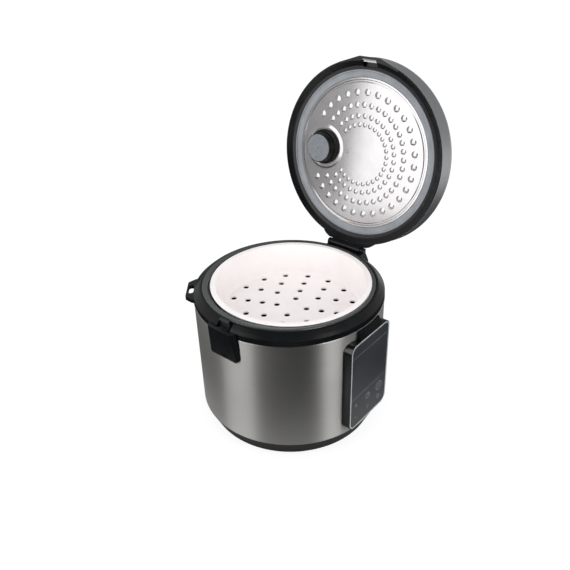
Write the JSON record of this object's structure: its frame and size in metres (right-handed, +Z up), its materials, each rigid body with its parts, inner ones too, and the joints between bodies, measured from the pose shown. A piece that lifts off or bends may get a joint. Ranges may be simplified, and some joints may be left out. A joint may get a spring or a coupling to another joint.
{
  "type": "rice cooker",
  "caption": "Round rice cooker with a steel band, black collar and base, side control panel, inner pot, white steamer tray and a hinged lid standing open.",
  "frame": {"origin": "on the floor under the round body's axis, in the plane of the feet", "axes": "+Z up, -Y to the lid latch, +Y to the lid hinge, +X to the control panel"},
  "size_m": [0.2481, 0.3247, 0.4352],
  "materials": {
    "black_gloss": "gloss",
    "base_black": "satin",
    "steel_band": "brushed round the body",
    "steel": "bright drawn",
    "lid_silver": "silver metallic",
    "aluminium_sheet": "satin",
    "aluminium_cast": "as cast",
    "rubber_black": "matt",
    "silicone_grey": "satin",
    "valve_grey": "satin",
    "tray_white": "satin",
    "panel_smoke": "gloss",
    "trim_bright": "silver paint",
    "board_green": "satin",
    "part_black": "satin",
    "pin_brass": "bright"
  },
  "bodies": {
    "cooker_body": {"rubber_feet": "rubber_black", "base_pan": "base_black", "base_screws": "steel", "outer_sleeve": "steel_band", "top_collar": "black_gloss", "hinge_bracket": "black_gloss", "hinge_pin": "steel", "hinge_spring": "steel", "inner_liner": "aluminium_sheet", "heating_plate": "aluminium_cast", "heating_element": "steel", "heater_screws": "steel", "sensor_holder": "steel", "sensor_spring": "steel", "thermal_fuse": "steel", "power_board": "board_green", "power_relay": "part_black", "power_transformer": "part_black", "power_inlet": "part_black", "inlet_pins": "pin_brass", "panel_housing": "black_gloss", "panel_trim": "trim_bright", "panel_face": "panel_smoke", "control_board": "board_green", "display_module": "part_black", "button_pin": "steel", "button_spring": "steel"},
    "lid": {"lid_frame": "black_gloss", "lid_cover": "lid_silver", "lid_gasket": "silicone_grey", "inner_lid_plate": "aluminium_sheet", "plate_rivet": "steel", "valve_seat": "rubber_black", "valve_cap": "valve_grey", "keeper": "steel"},
    "vent_cap": {"steam_vent_cap": "lid_silver"},
    "release_lever": {"release_button": "black_gloss", "latch_hook": "part_black"},
    "pot": {"inner_pot": "aluminium_sheet"},
    "tray": {"steamer_tray": "tray_white"},
    "pot_sensor": {"sensor_cup": "aluminium_sheet", "thermistor": "part_black"}
  },
  "joints": [
    {"name": "lid_hinge", "type": "hinge", "parent": "cooker_body", "child": "lid", "pos_m": [0, 0.1275, 0.1875], "axis": [-1, 0, 0], "range_deg": [-99, 0], "stiffness_Nm_per_rad": 0.3, "springref_deg": 8.59, "deforming": ["hinge_spring"]},
    {"name": "release_press", "type": "hinge", "parent": "cooker_body", "child": "release_lever", "pos_m": [0, -0.1135, 0.152], "axis": [-1, 0, 0], "range_deg": [0, 3], "stiffness_Nm_per_rad": 0.4, "springref_deg": -6.88, "deforming": ["button_spring"]},
    {"name": "pot_lift", "type": "slide", "parent": "cooker_body", "child": "pot", "axis": [0, 0, 1], "range_m": [0, 0.2]},
    {"name": "tray_lift", "type": "slide", "parent": "pot", "child": "tray", "axis": [0, 0, 1], "range_m": [0, 0.1]},
    {"name": "sensor_plunge", "type": "slide", "parent": "cooker_body", "child": "pot_sensor", "axis": [0, 0, 1], "range_m": [-0.003, 0], "stiffness_N_per_m": 600, "springref_m": 0.004, "deforming": ["sensor_spring"]},
    {"name": "vent_lift", "type": "slide", "parent": "lid", "child": "vent_cap", "axis": [0, 0.9877, -0.1564], "range_m": [0, 0.025]}
  ]
}
